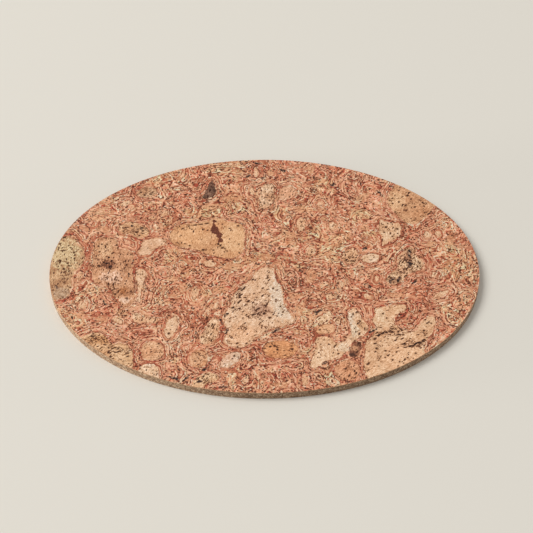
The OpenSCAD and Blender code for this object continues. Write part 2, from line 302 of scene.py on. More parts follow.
# Glue film: a brushed coat of contact glue, dried to a thin amber layer between board and veneer. Only its
# edge shows, as a hairline round the rim, so the plain film of the frame stays and takes a finish.
tree, shader, dried_glue = finish_of("dried glue", 0.5, 0.4)
place = node(tree, "TexCoord").outputs["Object"]
brushed = node(tree, "TexNoise", {"Vector": place, "Scale": 1 / (2.5 * mm), "Detail": 4.0})
glue_tones = ramp(tree, brushed.outputs[0], [(0.3, "8a6a44"), (0.7, "b0905f")])
tree.links.new(glue_tones, shader.inputs["Base Color"])
bump = node(tree, "Bump", {"Height": brushed.outputs[0], "Strength": 0.3, "Distance": 0.05 * mm})
tree.links.new(bump.outputs[0], shader.inputs["Normal"])
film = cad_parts["glue_film"]
film.data.materials.clear()
film.data.materials.append(dried_glue)

# Large chips: pieces of bark cork, from thumbnail to palm size, laid flat in the mould before the shavings.
# The pressed block is sliced to veneer, so the slice shows them cut through: pale cork with dark pores, wavy
# crusts of bark, stains, and a broken dark line where the shavings meet them.
veneer_low, veneer_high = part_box("veneer_ground")
veneer_base = veneer_low.z / mm
veneer_top = veneer_high.z / mm
outline_gap = 0.8
ragged_reach = 0.3
ragged_length = 3.2
on_rim = 0.9995
rim_fade = 2.5
chip_gap = 0.75
border_clearance = 0.5
pit_depth = 0.4
pit_wall = 0.4
pit_clearance = 1.3
small_pore_gap = 2.0
small_pore_margin = 1.6
swirl_gap = 24
swirl_blend = 1.6
swirl_bend = 3.0
swirl_bend_length = 34
chip_lead = 3

# Looks: main and second colour, lean of the grain from +X in degrees, number of small pores, and crust.
chip_looks = {
    "cracked_chip": ("c79872", "b88762", 80, 14, 0.1),
    "front_chip": ("dab08e", "cca07e", 50, 16, 0.35),
    "right_front_chip": ("d6aa85", "c99b77", 35, 22, 0.2),
    "elbow_chip": ("d6ab88", "ca9d78", 70, 14, 0.3),
    "knee_chip": ("d2a07a", "c6926b", 20, 5, 0.0),
    "grey_bark_chip": ("98705a", "7c5848", 60, 4, 0.6),
    "left_rim_chip": ("ba9471", "a47e5f", 75, 20, 0.2),
    "stained_chip": ("c0906f", "ae7f60", 85, 16, 0.4),
    "teardrop_chip": ("dcb18f", "d0a380", 85, 4, 0.0),
    "pale_pink_chip": ("d0a584", "c59776", 25, 4, 0.1),
    "dotted_chip": ("d0a27b", "b98a68", 10, 12, 0.7),
    "upper_left_chip": ("c39a7a", "b08566", 20, 8, 0.7),
    "bark_wedge": ("7c6459", "50403a", 70, 6, 0.9),
    "upper_centre_chip": ("dab08d", "c79876", 80, 8, 0.75),
    "pinkish_chip": ("d0a080", "c49070", 60, 7, 0.2),
    "upper_right_rim_chip": ("bf926f", "ae805f", 45, 22, 0.3),
    "right_pale_chip": ("dab08c", "c99c78", 80, 10, 0.35),
    "crusted_chip": ("e0b48c", "c49675", 60, 10, 0.8),
    "speckled_chip": ("d4a57f", "bc8d6b", 50, 10, 0.7),
    "cream_chip": ("e5bc99", "d7ab87", 10, 4, 0.1),
    "lower_left_chip": ("dab08e", "cfa37f", 60, 3, 0.0),
    "lower_left_rim_chip": ("cca17b", "bb8e68", 20, 22, 0.4),
    "lower_left_tan_chip": ("cc9d79", "be8c6a", 30, 10, 0.25),
    "front_left_rim_chip": ("e7be9c", "daaf8b", 70, 6, 0.3),
    "yellow_rim_chip": ("dcb088", "c69a75", 60, 8, 0.4),
    "pale_round_chip": ("dcb698", "cfa487", 40, 3, 0.25),
    "tan_front_chip": ("cb9a77", "b98663", 50, 10, 0.6),
    "ring_chip": ("daae89", "c89874", 70, 8, 0.4),
    "orange_chip": ("c69068", "ba825b", 10, 6, 0.35),
    "outlined_chip": ("e4bb95", "d6ab85", 45, 4, 0.3),
    "swirl_chip": ("c99472", "b98362", 60, 8, 0.3),
}

# Placed pores: x, y, length, width, and lean of the length from +X in degrees.
chip_pores = {
    "cracked_chip": [
        (-66, 58.8, 5.0, 1.6, 8), (-60.5, 59.8, 5.0, 1.6, 5), (-55, 60.8, 4.5, 1.6, 10),
        (-43.5, 33.6, 2.6, 1.8, 60), (-77.5, 54, 3.8, 1.5, 40), (-72, 57, 2.0, 1.4, 50),
        (-69, 53, 1.8, 1.4, 30), (-54, 51.5, 2.0, 1.4, 60), (-33, 54, 1.8, 1.4, 20),
        (-25, 57.5, 2.7, 2.5, 60), (-79, 45, 1.6, 1.3, 0), (-75, 33.5, 1.8, 1.4, 15),
        (-70.5, 31, 2.2, 1.7, 30), (-57.5, 25.5, 3.1, 2.5, 20), (-39.5, 28.3, 4.0, 2.1, 40),
        (-48, 25, 1.8, 1.4, 0), (-24, 33, 2.0, 1.4, 70), (-41.3, 31.2, 3.4, 1.3, 65)],
    "front_chip": [
        (-19.5, -25, 7.3, 1.7, 50), (-22, -33, 5.6, 1.8, 45), (-23, -41, 7.3, 2.0, 50),
        (-29, -48.5, 3.9, 2.1, 30), (-17.5, -36, 1.8, 1.8, 0), (3, -11, 2.9, 2.0, 60),
        (8, -24.5, 2.7, 1.7, 70), (-1.5, -24, 2.7, 1.7, 40), (-2, -34, 2.5, 1.7, 50),
        (4, -34, 2.2, 1.5, 30), (14.5, -47, 2.2, 1.5, 60), (17, -54, 2.5, 1.5, 40),
        (-24.5, -92, 2.9, 1.7, 30), (-16, -92, 2.7, 1.5, 40), (-6, -50, 4.5, 2.0, 40),
        (-10, -57, 3.8, 1.8, 30), (0, -56, 3.4, 1.8, 50), (5, -61, 3.6, 2.0, 35)],
    "right_front_chip": [
        (99.6, -86.6, 4.0, 2.2, 48), (102.9, -82.8, 4.2, 2.0, 45), (106.6, -80.2, 4.2, 1.9, 30),
        (110.2, -79, 4.0, 1.7, 20), (113.4, -77.4, 4.0, 1.8, 30), (116, -74.8, 3.0, 1.7, 40),
        (125, -92.9, 6.0, 1.5, 8), (126.1, -96.8, 4.5, 1.5, 10), (131.5, -95.2, 4.2, 1.9, 30),
        (135.5, -92.9, 4.2, 1.9, 28), (139.3, -91, 4.0, 1.9, 28), (142.6, -89.7, 3.4, 1.8, 25),
        (121.3, -81.8, 2.2, 1.8, 0), (124.9, -81.8, 2.6, 1.8, 0), (100.4, -98.4, 2.8, 2.7, 0),
        (99.1, -102.1, 2.4, 1.5, 40), (98.5, -92.5, 1.8, 1.7, 30), (135, -104, 2.2, 1.8, 20),
        (108, -101, 2.0, 1.7, 10), (118, -102.5, 2.0, 1.7, 40), (107.5, -109, 1.8, 1.7, 0),
        (114, -112, 2.2, 1.7, 50), (125, -111, 2.0, 1.7, 20), (120, -114, 1.8, 1.5, 70),
        (92.2, -116.2, 4.4, 2.2, 50), (111, -61.5, 1.8, 1.5, 60), (108, -56, 2.7, 1.4, 30),
        (147, -68, 1.8, 1.5, 0), (151, -68, 1.7, 1.4, 0), (144, -77, 2.7, 2.0, 40)],
    "elbow_chip": [
        (80.7, -57, 4.7, 1.7, 85), (84.5, -68.5, 2.0, 1.7, 60), (85.6, -80.5, 3.6, 1.7, 65),
        (63.5, -95, 5.2, 1.4, 50), (66, -104.5, 2.7, 1.7, 20)],
    "orange_chip": [
        (5, -96, 2.2, 2.0, 30), (9, -95, 2.0, 1.8, 0), (11.5, -99.5, 2.2, 2.2, 80),
        (11.5, -103.5, 1.6, 1.5, 0)],
    "stained_chip": [
        (-156.5, 30.5, 2.0, 2.0, 0), (-153.5, 33, 2.0, 1.8, 40), (-150, 31, 1.8, 1.7, 70),
        (-155, 23, 2.0, 1.8, 20), (-142.5, 21.5, 3.4, 1.5, 40), (-146, 15.5, 2.0, 1.8, 60),
        (-154.5, 5, 1.8, 1.7, 30), (-147, 8, 3.8, 2.1, 30), (-144, 4, 3.4, 2.0, 60), (-150, 9, 2.7, 1.8, 0),
        (-143, 11, 2.5, 1.7, 70)],
    "left_rim_chip": [
        (-189, 25, 6.7, 1.4, 8), (-182.5, 28.5, 2.0, 1.7, 20), (-178, 19, 2.5, 1.5, 80),
        (-178, 14.5, 2.5, 1.5, 70), (-184, 8, 2.2, 1.7, 30), (-187, 1, 2.9, 2.0, 50),
        (-182, -2, 2.2, 1.7, 10), (-191, 12, 2.0, 1.5, 60)],
    "dotted_chip": [(-132, 55, 2.7, 2.8, 30), (-134, 50.5, 1.8, 1.7, 0), (-121, 49, 2.0, 1.7, 40)],
    "upper_right_rim_chip": [
        (139, 99, 2.7, 2.5, 60), (130, 90, 2.2, 2.2, 0), (124, 88, 2.0, 2.0, 30), (124, 95, 1.8, 1.7, 0),
        (142, 94, 2.0, 1.8, 50), (153, 89, 2.0, 1.8, 20), (154, 84, 1.8, 1.7, 0), (145, 83, 2.7, 2.0, 40)],
    "right_pale_chip": [
        (116, 55.5, 2.9, 2.8, 40), (114, 48.5, 2.0, 1.8, 0), (127, 53, 1.8, 1.7, 30),
        (126.5, 47, 1.8, 1.5, 60), (121.5, 43, 2.0, 1.7, 20)],
    "upper_left_chip": [(-116, 100, 2.7, 2.5, 20), (-108.5, 104, 2.9, 1.7, 30), (-120, 104, 2.0, 1.8, 0)],
    "lower_left_chip": [(-86.3, -80, 2.7, 2.4, 60)],
    "pale_round_chip": [(-27, -107, 3.1, 1.7, 60)],
}

# Stains: x, y, reach along X and along Y, colour and strength.
chip_stains = {
    "front_chip": [
        (12, -32, 8, 28, "d9bb9f", 0.8), (19, -54, 9, 11, "d9bb9f", 0.7), (-3, -52, 9, 10, "a88470", 0.7),
        (-20, -80, 16, 14, "d8a37c", 0.6)],
    "right_front_chip": [(130, -112, 24, 20, "e2b088", 0.6), (104, -58, 8, 10, "e2bd98", 0.6)],
    "elbow_chip": [
        (78, -62, 4, 11, "dcc1a8", 0.6), (81, -76, 5, 9, "e6c8a8", 0.65), (71, -97, 7, 6, "e6c8a8", 0.4),
        (52, -108, 12, 12, "e6ba94", 0.6)],
    "left_rim_chip": [(-188, 20, 16, 22, "cfb389", 0.7), (-186, -30, 9, 9, "a68d78", 0.7)],
    "stained_chip": [
        (-146, 6, 7, 6, "8d6350", 0.65), (-142, -10, 12, 9, "dfb193", 0.75),
        (-130, -27, 5, 5, "9a6640", 0.75), (-128, -39, 6, 4, "e4b89a", 0.9),
        (-150, 26, 8, 12, "cda27c", 0.7)],
    "cracked_chip": [(-30, 40, 14, 20, "e0b084", 0.6), (-70, 45, 16, 14, "d8a478", 0.6)],
    "orange_chip": [(14, -99, 12, 8, "c2875c", 0.5)],
    "upper_right_rim_chip": [(128, 92, 9, 14, "d9ab82", 0.7), (150, 76, 12, 12, "ba8662", 0.4)],
    "crusted_chip": [
        (136, 12, 4, 14, "7a5848", 0.7), (120, -14, 8, 5, "7d5c4a", 0.6), (143, 6, 6, 9, "dcb28c", 0.8)],
    "grey_bark_chip": [
        (81, -98, 4, 4, "b98a6a", 0.9), (77, -106, 4, 3, "3a2a28", 0.9), (86, -93, 2.5, 4, "5a4038", 0.8)],
    "lower_left_rim_chip": [(-146, -88, 10, 6, "c08a5c", 0.6), (-128, -108, 12, 12, "d6ac84", 0.6)],
}

# Patches of crust: x, y, reach along X and along Y, and strength.
chip_crusts = {
    "left_rim_chip": [(-188, 5, 14, 30, 0.5)],
    "stained_chip": [(-146, 8, 12, 9, 1.0), (-140, -26, 14, 10, 0.7)],
    "lower_left_rim_chip": [(-150, -84, 14, 10, 1.0), (-135, -96, 12, 9, 0.6)],
    "crusted_chip": [(130, 2, 18, 20, 1.0)],
    "dotted_chip": [(-126, 46, 12, 8, 0.8)],
    "upper_centre_chip": [(20, 100, 20, 12, 0.7)],
    "front_chip": [(-4, -50, 11, 12, 1.2), (-24, -36, 7, 18, 1.0), (8, -80, 14, 9, 0.9)],
    "right_front_chip": [(112, -80, 16, 7, 1.2), (140, -92, 14, 5, 1.2)],
    "ring_chip": [(0, 0, 400, 400, 0.4)],
    "yellow_rim_chip": [(-60, -125, 30, 20, 0.7)],
    "speckled_chip": [(100, 30, 60, 40, 0.5)],
}


def waver(points, length, seed):
    """Smooth waver between about -1 and 1: the sum of six sine waves of about that length in random
    directions, divided by 2.4."""
    waves = 6
    draw = np.random.default_rng(seed)
    turn = draw.uniform(0, 2 * np.pi, waves)
    rate = 2 * np.pi / (length * draw.uniform(0.7, 1.5, waves))
    start = draw.uniform(0, 2 * np.pi, waves)
    return np.sin(points @ (rate * np.stack([np.cos(turn), np.sin(turn)])) + start).sum(1) / 2.4


def outline_sides(name):
    """Sides of a node's top outline, as pairs of points: the sides of top triangles that no other has, each
    cut into equal parts no longer than outline_gap. Away from the rim they are moved by a fine waver, the
    same for all nodes, and on the rim they are set on the true oval."""
    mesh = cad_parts[name].data
    places = np.empty(len(mesh.vertices) * 3, np.float32)
    mesh.vertices.foreach_get("co", places)
    corners = np.empty(len(mesh.loops), np.int32)
    mesh.loops.foreach_get("vertex_index", corners)
    places, number = np.unique(np.round(places.reshape(-1, 3) / mm, 4), axis=0, return_inverse=True)
    triangles = number.ravel()[corners].reshape(-1, 3)
    top = (places[triangles, 2] > veneer_top - 0.01).all(1)
    long_sides = places[border_sides(triangles[top]), :2]
    run = long_sides[:, 1] - long_sides[:, 0]
    parts = np.ceil(np.linalg.norm(run, axis=1) / outline_gap).astype(int)
    side = np.repeat(np.arange(len(parts)), parts)
    part = np.arange(len(side)) - np.repeat(np.cumsum(parts) - parts, parts)
    share = np.stack([part, part + 1], 1) / parts[side, None]
    points = (long_sides[side, 0][:, None] + share[:, :, None] * run[side][:, None]).reshape(-1, 2)
    rim_share = np.hypot(points[:, 0] / half_length, points[:, 1] / half_width)
    fade = np.clip((on_rim - rim_share) * half_width / rim_fade, 0, 1)
    shift = ragged_reach * np.stack([waver(points, ragged_length, 1), waver(points, ragged_length, 2)], 1)
    moved = points + shift * fade[:, None]
    points = np.where(rim_share[:, None] > on_rim, points / rim_share[:, None], moved)
    return np.round(points, 4).reshape(-1, 2, 2)


def pit_reach(points, pits):
    """How far out each point lies from the middle of the pit it is nearest to, where the pit's rim is 1. Pits
    are ovals, given as (x, y, length, width, lean of the length from +X in degrees)."""
    pits = np.asarray(pits, float)
    x, y, length, width, lean = pits[nearest(points, pits[:, :2])[1]].T
    turn = np.radians(lean)
    run, rise = points[:, 0] - x, points[:, 1] - y
    along = (run * np.cos(turn) + rise * np.sin(turn)) * 2 / length
    across = (rise * np.cos(turn) - run * np.sin(turn)) * 2 / width
    return np.hypot(along, across)


def pit_rings(pits):
    """Points that draw the pits: a ring of ten on each rim, ten farther in, and the middle."""
    x, y, length, width, lean = np.asarray(pits, float).T[:, :, None]
    ring_count = 10
    ring_turns = np.linspace(0, 2 * np.pi, ring_count, endpoint=False)
    reach = np.repeat([1.0, 0.6, 0.0], [ring_count, ring_count, 1])
    ring_turns = np.concatenate([ring_turns, ring_turns, [0.0]])
    along = length / 2 * reach * np.cos(ring_turns)
    across = width / 2 * reach * np.sin(ring_turns)
    turn = np.radians(lean)
    ring_x = x + along * np.cos(turn) - across * np.sin(turn)
    ring_y = y + along * np.sin(turn) + across * np.cos(turn)
    return np.stack([ring_x, ring_y], 2).reshape(-1, 2)


def inlay(name, sides, gap, pits, material):
    """Slice of veneer with the given outline: a flat top with pits in it, straight walls and a flat base."""
    filling = staggered_rows(sides, gap)
    filling = filling[nearest(filling, sides[:, 0])[0] > border_clearance * gap]
    if len(pits):
        filling = np.concatenate([filling[pit_reach(filling, pits) > pit_clearance], pit_rings(pits)])
    flat, triangles = net(sides, filling)
    depth = np.zeros(len(flat))
    if len(pits):
        depth = pit_depth * np.clip((1 - pit_reach(flat, pits)) / pit_wall, 0, 1)
    under, under_faces = net(sides, np.empty((0, 2)))
    border = border_sides(triangles)
    wall = np.concatenate([flat[border], flat[border[:, ::-1]]], 1)
    wall_height = np.broadcast_to([veneer_base, veneer_base, veneer_top, veneer_top], wall.shape[:2])
    points = np.concatenate([
        np.column_stack([flat, veneer_top - depth]),
        np.column_stack([under, np.full(len(under), veneer_base)]),
        np.column_stack([wall.reshape(-1, 2), wall_height.ravel()])])
    under_faces = under_faces[:, ::-1] + len(flat)
    wall_faces = np.arange(wall_height.size).reshape(-1, 4) + len(flat) + len(under)
    low, high = flat.min(0), flat.max(0)
    spot = (points[:, :2] - low) / (high - low)
    top_map = spot[triangles] * (1, 0.9)
    under_map = spot[under_faces] * (1, 0.04) + (0, 0.91)
    wall_map = np.stack([spot[wall_faces].mean(2), (points[wall_faces, 2] - veneer_base) * 0.04 + 0.96], 2)
    faces = [triangles, under_faces, wall_faces]
    return make_piece(name, points, faces, [top_map, under_map, wall_map], material)


def mark(piece, name, kind, values):
    """Named value for each point of a piece, for its material to read."""
    key = {"FLOAT": "value", "FLOAT_VECTOR": "vector", "FLOAT_COLOR": "color"}[kind]
    attribute = piece.data.attributes.new(name, kind, "POINT")
    attribute.data.foreach_set(key, np.asarray(values, np.float32).ravel())


def noise(tree, place, size, detail=2.0, distortion=0.0):
    """Soft random value about 0.5 that changes over about the given length of the place it is read at."""
    inputs = {"Vector": place, "Scale": 1 / size, "Detail": detail, "Distortion": distortion}
    return node(tree, "TexNoise", inputs).outputs[0]


def cells(tree, place, size=1.0):
    """Crisp cells of the given size: three random values of each, and the distance from its middle, in
    sizes."""
    made = node(tree, "TexVoronoi", {"Vector": place, "Scale": 1 / size})
    return node(tree, "SeparateColor", {0: made.outputs["Color"]}).outputs, made.outputs["Distance"]


def shade(tree, tone, factor):
    """A colour made lighter or darker by a factor."""
    return node(tree, "VectorMath", {0: tone, "Scale": factor}, operation="SCALE").outputs[0]


def both(tree, first, *others):
    """Product of shares, so that all must hold."""
    for other in others:
        first = reckon(tree, "MULTIPLY", first, other)
    return first


tree, shader, sliced_veneer = finish_of("sliced veneer", 0.62, 0.3)
place = node(tree, "TexCoord").outputs["Object"]
place = node(tree, "VectorMath", {0: place, "Scale": 1 / mm}, operation="SCALE").outputs[0]
axes = node(tree, "SeparateXYZ", {0: place}).outputs
flow = node(tree, "Attribute", attribute_name="flow").outputs["Fac"]
drift = node(tree, "Attribute", attribute_name="drift").outputs["Fac"]
seam = node(tree, "Attribute", attribute_name="seam").outputs["Fac"]
chip = node(tree, "Attribute", attribute_name="chip").outputs["Fac"]
cover = node(tree, "Attribute", attribute_name="cover").outputs["Fac"]
tone = node(tree, "Attribute", attribute_name="tone").outputs["Color"]
grain = node(tree, "Attribute", attribute_name="grain").outputs["Vector"]
crust = node(tree, "Attribute", attribute_name="crust").outputs["Fac"]
bark = node(tree, "Attribute", attribute_name="bark").outputs["Fac"]
rust = node(tree, "Attribute", attribute_name="rust").outputs["Fac"]
pit = node(tree, "Attribute", attribute_name="pit").outputs["Fac"]

patch = noise(tree, place, 22, 2.0)
spot = noise(tree, place, 7, 2.0)
curl = reckon(tree, "MULTIPLY", noise(tree, place, 3.0, 2.0), 0.55)
bend = reckon(tree, "MULTIPLY", noise(tree, place, 12, 1.5), 5.0)
seam_near = spread(tree, reckon(tree, "ADD", seam, curl), 0.6, 1.7, 1.0, 0.0)
bent_flow = reckon(tree, "ADD", flow, reckon(tree, "ADD", curl, bend))
bundle_reach = spread(tree, patch, 0.35, 0.65, -5.0, 6.0)
bundle = spread(tree, reckon(tree, "ADD", chip, bundle_reach), -9.0, -6.0)
bundle = both(tree, bundle, spread(tree, cover, 0.6, 1.0, 0.2, 1.0))


def along_flow(length, thickness):
    """Place on the strips: two axes of the sheet over a strip's length, and the flow over its thickness."""
    parts = [reckon(tree, "DIVIDE", axes[0], length), reckon(tree, "DIVIDE", axes[1], length)]
    parts.append(reckon(tree, "DIVIDE", bent_flow, thickness))
    return node(tree, "CombineXYZ", dict(enumerate(parts))).outputs[0]


def strip_lines(period, width, run):
    """Share of broken dark lines along the flow: lines a period apart and of that width, darker and fainter
    by a soft random value that changes over the run along them. They are unbroken on the seams between
    swirls, and at least 0.7 as dark in the bundles of strips round the chips."""
    phase = reckon(tree, "FRACT", reckon(tree, "DIVIDE", bent_flow, period))
    off_middle = reckon(tree, "ABSOLUTE", reckon(tree, "SUBTRACT", phase, 0.5))
    off_line = reckon(tree, "MULTIPLY", off_middle, period)
    broken = spread(tree, noise(tree, along_flow(run, period), 1.0, 2.5), 0.42, 0.6)
    broken = reckon(tree, "MAXIMUM", reckon(tree, "MAXIMUM", broken, seam_near), both(tree, bundle, 0.7))
    return both(tree, spread(tree, off_line, width * 0.3, width * 0.7, 1.0, 0.0), broken)


strip_draw, _ = cells(tree, along_flow(7.0, 0.9))
long_draw, _ = cells(tree, along_flow(24.0, 1.1))
bundled = reckon(tree, "GREATER_THAN", bundle, 0.5)
strip_value = node(tree, "Mix", {0: bundled, 2: strip_draw[0], 3: long_draw[0]}).outputs[0]
sliver = noise(tree, along_flow(2.6, 0.7), 1.0, 1.5)
crumb_draw, _ = cells(tree, along_flow(1.5, 0.95))
thread_draw, _ = cells(tree, along_flow(5.5, 0.95))
band = noise(tree, along_flow(26, 3.5), 1.0, 1.0)
drawn = reckon(tree, "ADD", strip_value, reckon(tree, "MULTIPLY", drift, 0.14))
drawn = reckon(tree, "ADD", drawn, spread(tree, band, 0.3, 0.7, -0.2, 0.2))
strip_tones = ramp(tree, drawn, [
    (0.0, "bd8066"), (0.08, "d29879"), (0.26, "e2ad8c"), (0.5, "ecb897"), (0.76, "f0c29c"), (0.93, "f3caa4"),
    (0.99, "f8dcb8")], steps=True)
tints = ramp(tree, strip_draw[2], [(0.0, "fff4ef"), (0.4, "fffaf8"), (0.75, "fbfbf3")], steps=True)
swirl_tints = ramp(tree, spread(tree, drift, -0.8, 0.8), [
    (0.0, "fff1ec"), (0.3, "f8f2f1"), (0.55, "fff9f5"), (1.0, "f7f7ea")])
hued = blend(tree, 1.0, blend(tree, 1.0, strip_tones, tints, "MULTIPLY"), swirl_tints, "MULTIPLY")
sliver_tones = ramp(tree, sliver, [(0.33, "c0b4aa"), (0.67, "ecf2f4")])
slivered = blend(tree, 1.0, shade(tree, hued, 1.6), sliver_tones, "MULTIPLY")
thread_reach = spread(tree, bundle, 0.0, 1.0, 0.48, 0.16)
thread_change = both(tree, reckon(tree, "SUBTRACT", thread_draw[0], 0.5), thread_reach)
threaded = shade(tree, slivered, reckon(tree, "ADD", thread_change, 0.94))
lumpy = shade(tree, threaded, spread(tree, spot, 0.35, 0.65, 0.87, 1.13))
seamed = blend(tree, both(tree, seam_near, 0.3), lumpy, colour("b5755f"))
lined_share = spread(tree, noise(tree, place, 14, 1.0), 0.38, 0.58, 0.15, 0.95)
browner = spread(tree, noise(tree, place, 9, 1.0), 0.42, 0.58)
line_tone = blend(tree, browner, colour("a34a3a"), colour("8a523c"))
lined = blend(tree, both(tree, strip_lines(2.2, 0.75, 14.0), lined_share), seamed, line_tone)
lined = blend(tree, both(tree, strip_lines(3.7, 0.75, 10.0), 0.8), lined, colour("7c3226"))
dark = reckon(tree, "ADD", crumb_draw[0], reckon(tree, "MULTIPLY", patch, 0.55))
dark = reckon(tree, "GREATER_THAN", dark, 1.105)
red = reckon(tree, "ADD", crumb_draw[1], reckon(tree, "MULTIPLY", spot, 0.3))
red = reckon(tree, "GREATER_THAN", red, 1.1)
reddened = blend(tree, both(tree, red, 0.75), lined, colour("b5443a"))
light = reckon(tree, "GREATER_THAN", crumb_draw[2], 0.95)
lightened = blend(tree, both(tree, light, 0.65), reddened, colour("fadcb6"))
bed_tone = blend(tree, both(tree, dark, 0.88), lightened, colour("421809"))


def along_grain(length, width):
    """Place on a chip's grain, over the given length along it and width across it."""
    rates = (1 / length, 1 / width, 1.0)
    return node(tree, "VectorMath", {0: grain, 1: rates}, operation="MULTIPLY").outputs[0]


flake_draw, _ = cells(tree, along_grain(1.8, 1.05))
growth = noise(tree, along_grain(6.0, 1.3), 1.0, 3.0)
hatch = noise(tree, along_grain(3.0, 0.7), 1.0, 1.0)
fine = noise(tree, place, 0.95, 3.0)
dash_draw, dash_away = cells(tree, along_grain(4.2, 1.8))
dot_draw, dot_away = cells(tree, place, 2.1)
wavy = noise(tree, place, 3.3, 1.5, 0.7)
bleached = shade(tree, tone, spread(tree, noise(tree, place, 5.0, 3.0), 0.45, 0.68, 0.98, 1.2))
flake_reach = spread(tree, crust, 0.0, 0.3, 0.14, 0.3)
flake_change = both(tree, reckon(tree, "SUBTRACT", flake_draw[0], 0.5), flake_reach, 2.0)
flaked = shade(tree, bleached, reckon(tree, "ADD", flake_change, 1.325))
grown = shade(tree, flaked, spread(tree, growth, 0.3, 0.7, 1.1, 0.88))
hatch_tones = ramp(tree, hatch, [(0.32, "c2bab0"), (0.68, "fdffff")])
hatched = blend(tree, 1.0, shade(tree, grown, 1.26), hatch_tones, "MULTIPLY")
grainy = shade(tree, hatched, spread(tree, fine, 0.34, 0.66, 1.16, 0.82))
off_line = reckon(tree, "ABSOLUTE", reckon(tree, "SUBTRACT", wavy, 0.5))
crusted = reckon(tree, "ADD", spot, reckon(tree, "MULTIPLY", crust, 0.16))
wave_share = both(tree, spread(tree, off_line, 0.025, 0.05, 0.88, 0.0), spread(tree, crusted, 0.62, 0.7))
waved = blend(tree, wave_share, grainy, colour("4c2a1a"))
marked = reckon(tree, "ADD", reckon(tree, "MULTIPLY", spot, 1.5), reckon(tree, "MULTIPLY", crust, 0.5))
dot_some = reckon(tree, "GREATER_THAN", reckon(tree, "ADD", dot_draw[0], marked), 1.74)
dot_share = both(tree, spread(tree, dot_away, 0.18, 0.32, 0.9, 0.0), dot_some)
dotted = blend(tree, dot_share, waved, colour("53301c"))
dash_some = reckon(tree, "GREATER_THAN", reckon(tree, "ADD", dash_draw[0], marked), 1.72)
dash_share = both(tree, spread(tree, dash_away, 0.3, 0.38, 0.95, 0.0), dash_some)
dashed = blend(tree, dash_share, dotted, colour("402213"))
gash_draw, gash_away = cells(tree, along_grain(7.5, 2.8))
gash_some = reckon(tree, "GREATER_THAN", reckon(tree, "ADD", gash_draw[0], marked), 1.8)
gash_share = both(tree, spread(tree, gash_away, 0.24, 0.34, 0.95, 0.0), gash_some)
gashed = blend(tree, gash_share, dashed, colour("3a1e11"))

coarse_rag = reckon(tree, "MULTIPLY", noise(tree, place, 7.0, 1.0), 1.4)
rag = reckon(tree, "ADD", noise(tree, place, 2.4, 2.5), coarse_rag)
rag = reckon(tree, "MULTIPLY", reckon(tree, "SUBTRACT", rag, 1.2), 2.2)
shifted = reckon(tree, "MULTIPLY", reckon(tree, "SUBTRACT", strip_draw[1], 0.5), 0.6)
ragged_chip = reckon(tree, "ADD", reckon(tree, "ADD", chip, rag), shifted)
chip_share = both(tree, spread(tree, ragged_chip, -0.2, 0.2), cover)
laid = blend(tree, chip_share, bed_tone, gashed)
rim_away = reckon(tree, "ABSOLUTE", ragged_chip)
rim_share = both(tree, spread(tree, rim_away, 0.25, 0.65, 0.75, 0.0), spread(tree, spot, 0.45, 0.56), cover)
rimmed = blend(tree, rim_share, laid, colour("6a3829"))
ragged_bark = reckon(tree, "ADD", bark, both(tree, rag, spread(tree, rust, 0.0, 1.0, 1.4, 1.9)))
ragged_bark = reckon(tree, "ADD", ragged_bark, reckon(tree, "MULTIPLY", rust, 0.8))
bark_share = spread(tree, ragged_bark, 0.45, 0.75, 0.0, 0.96)
bark_streak = noise(tree, place, 2.6, 2.5)
bark_tone = ramp(tree, bark_streak, [(0.4, "1c1518"), (0.5, "30262a"), (0.56, "7c6258"), (0.66, "c4a283")])
rust_tone = ramp(tree, fine, [(0.3, "45201a"), (0.5, "5c2f26"), (0.7, "8a5542")])
bark_tone = blend(tree, rust, bark_tone, rust_tone)
barked = blend(tree, bark_share, rimmed, bark_tone)
pitted = blend(tree, both(tree, pit, 0.92), barked, colour("2c1a17"))
lightness = node(tree, "RGBToBW", {0: pitted}).outputs[0]
toning = ramp(tree, lightness, [(0.05, "ebccb2"), (0.4, "ebebeb"), (0.85, "cfdff3")])
toned = blend(tree, 1.0, shade(tree, pitted, 1.28), toning, "MULTIPLY")
upright = node(tree, "SeparateXYZ", {0: node(tree, "TexCoord").outputs["Normal"]}).outputs[2]
sawn = ramp(tree, fine, [(0.3, "8a6b52"), (0.55, "ac8a6c"), (0.7, "c5a585")])
edged = blend(tree, spread(tree, reckon(tree, "ABSOLUTE", upright), 0.3, 0.6, 0.9, 0.0), toned, sawn)
tree.links.new(edged, shader.inputs["Base Color"])
height = reckon(tree, "ADD", sliver, fine)
bump = node(tree, "Bump", {"Height": height, "Strength": 0.25, "Distance": 0.1 * mm})
tree.links.new(bump.outputs[0], shader.inputs["Normal"])

small_looks = {
    "pale_chips": ("d9ae8a", "cb9a76", 70, 20, 0.2),
    "tan_chips": ("cf9c77", "c18c69", 20, 40, 0.2),
}
small_covers = {"pale_chips": 0.95, "tan_chips": 0.6}
rims = {name: outline_sides(name) for name in [*chip_looks, *small_looks, "bark_flecks", "crack_bark"]}
bark_rims = np.concatenate([rims["bark_flecks"], rims["crack_bark"]])
chip_names = [*chip_looks, *small_looks]
chip_rims = np.concatenate([rims[name] for name in chip_names])
chip_owner = np.repeat(np.arange(len(chip_names)), [len(rims[name]) for name in chip_names])
bare = nearest(chip_rims.mean(1), bark_rims.mean(1))[0] > 0.05
chip_rims, chip_owner = chip_rims[bare], chip_owner[bare]
leading_rims = chip_rims[chip_owner < chip_names.index("tan_chips")][:, 0]


